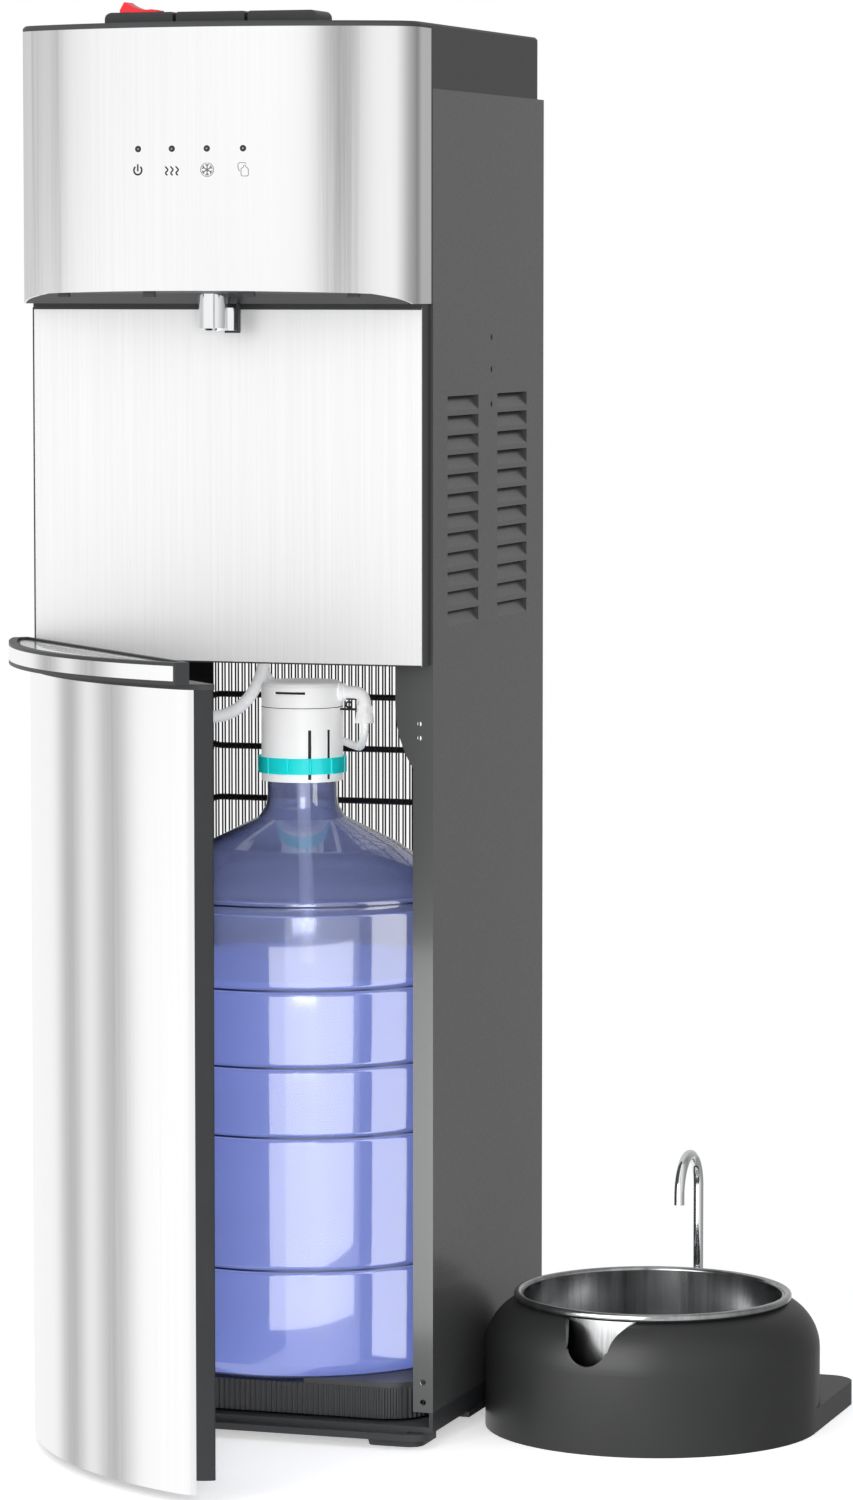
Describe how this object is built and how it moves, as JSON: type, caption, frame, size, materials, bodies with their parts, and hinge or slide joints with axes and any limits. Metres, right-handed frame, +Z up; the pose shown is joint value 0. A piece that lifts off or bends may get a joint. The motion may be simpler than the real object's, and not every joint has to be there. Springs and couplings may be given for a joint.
{
  "type": "water cooler",
  "caption": "Free-standing water cooler with a bottle bay behind a swing door, a top button row, a drip ledge on the door and a docked pet drinking bowl.",
  "frame": {"origin": "on the floor, in the middle of the sole of the right front foot, right as seen from the front", "axes": "+Z up, front faces -Y, +X to the right seen from the front"},
  "size_m": [0.5729, 0.5335, 1.0611],
  "materials": {
    "black_plastic": "matte",
    "dark_plastic": "satin moulded",
    "cover_plastic": "fine texture",
    "button_plastic": "satin moulded",
    "grey_paint": "fine powder coat",
    "dark_paint": "powder coat",
    "black_paint": "gloss paint",
    "brushed_steel": "vertical brushing",
    "bowl_steel": "polished",
    "tank_steel": "plain",
    "zinc_steel": "zinc plated",
    "chrome": "polished",
    "blue_bottle": "translucent tinted plastic",
    "clear_lens": "clear",
    "green_board": "lacquered",
    "teal_plastic": "glossy",
    "red_plastic": "glossy",
    "blue_plastic": "glossy",
    "white_plastic": "glossy",
    "white_hose": "smooth flexible tube",
    "mount_rubber": "matte",
    "foam": "foam",
    "magnet": "matte"
  },
  "bodies": {
    "cabinet": {"base_tray": "black_plastic", "feet": "dark_plastic", "side_panel_left": "grey_paint", "side_panel_right": "grey_paint", "rear_panel": "dark_paint", "mid_shelf": "dark_paint", "tank_shelf": "dark_paint", "top_cover": "cover_plastic", "head_wrap": "brushed_steel", "head_housing": "dark_plastic", "indicator_lenses": "clear_lens", "control_board": "green_board", "spout": "chrome", "spout_bracket": "black_plastic", "splash_panel": "brushed_steel", "splash_frame": "dark_plastic", "condenser_tube": "black_paint", "condenser_wires": "black_paint", "condenser_brackets": "black_paint", "bottle_tray": "dark_plastic", "bottle": "blue_bottle", "probe_cap": "white_plastic", "probe_cap_lid": "white_plastic", "probe_ring": "teal_plastic", "hose_elbow": "white_plastic", "elbow_nut": "white_plastic", "probe_tube": "white_plastic", "supply_hose": "white_hose", "vent_tube": "white_hose", "hose_fittings": "white_plastic", "compressor": "black_paint", "compressor_mounts": "mount_rubber", "cold_tank": "tank_steel", "tank_insulation": "foam", "hot_tank": "tank_steel", "water_pump": "black_plastic", "solenoid_valves": "white_plastic", "water_pipes": "white_plastic", "drain_plug": "white_plastic", "switch_plate": "black_plastic", "cabinet_screws": "zinc_steel", "hinge_brackets": "zinc_steel", "pet_housing": "cover_plastic", "pet_base_plate": "dark_plastic", "pet_spout": "chrome"},
    "door": {"door_liner": "dark_plastic", "door_skin": "brushed_steel", "door_magnet": "magnet", "hinge_pins": "zinc_steel", "tray_housing": "dark_plastic", "tray_band": "brushed_steel"},
    "drip_tray": {"drip_tray": "black_plastic", "drip_grid": "brushed_steel"},
    "hot_button": {"hot_button": "button_plastic"},
    "room_button": {"room_button": "button_plastic"},
    "cold_button": {"cold_button": "button_plastic"},
    "child_lock": {"child_lock": "red_plastic"},
    "pet_bowl": {"pet_bowl": "bowl_steel"},
    "hot_switch": {"hot_switch": "red_plastic"},
    "cold_switch": {"cold_switch": "blue_plastic"}
  },
  "joints": [
    {"name": "door_hinge", "type": "hinge", "parent": "cabinet", "child": "door", "pos_m": [-0.266, -0.037, 0.3], "axis": [0, 0, -1], "range_deg": [-46.5, 45]},
    {"name": "drip_tray_lift", "type": "slide", "parent": "door", "child": "drip_tray", "axis": [0, 0, 1], "range_m": [0, 0.06]},
    {"name": "hot_button_press", "type": "slide", "parent": "cabinet", "child": "hot_button", "axis": [0, 0, -1], "range_m": [0, 0.0035], "stiffness_N_per_m": 600, "springref_m": -0.0012},
    {"name": "room_button_press", "type": "slide", "parent": "cabinet", "child": "room_button", "axis": [0, 0, -1], "range_m": [0, 0.0035], "stiffness_N_per_m": 600, "springref_m": -0.0012},
    {"name": "cold_button_press", "type": "slide", "parent": "cabinet", "child": "cold_button", "axis": [0, 0, -1], "range_m": [0, 0.0035], "stiffness_N_per_m": 600, "springref_m": -0.0012},
    {"name": "child_lock_slide", "type": "slide", "parent": "hot_button", "child": "child_lock", "axis": [1, 0, 0], "range_m": [0, 0.005]},
    {"name": "pet_bowl_lift", "type": "slide", "parent": "cabinet", "child": "pet_bowl", "axis": [0, 0, 1], "range_m": [0, 0.05]},
    {"name": "hot_switch_rock", "type": "hinge", "parent": "cabinet", "child": "hot_switch", "pos_m": [-0.1927, 0.251, 0.95], "axis": [1, 0, 0], "range_deg": [0, 16]},
    {"name": "cold_switch_rock", "type": "hinge", "parent": "cabinet", "child": "cold_switch", "pos_m": [-0.1667, 0.251, 0.95], "axis": [1, 0, 0], "range_deg": [0, 16]}
  ]
}
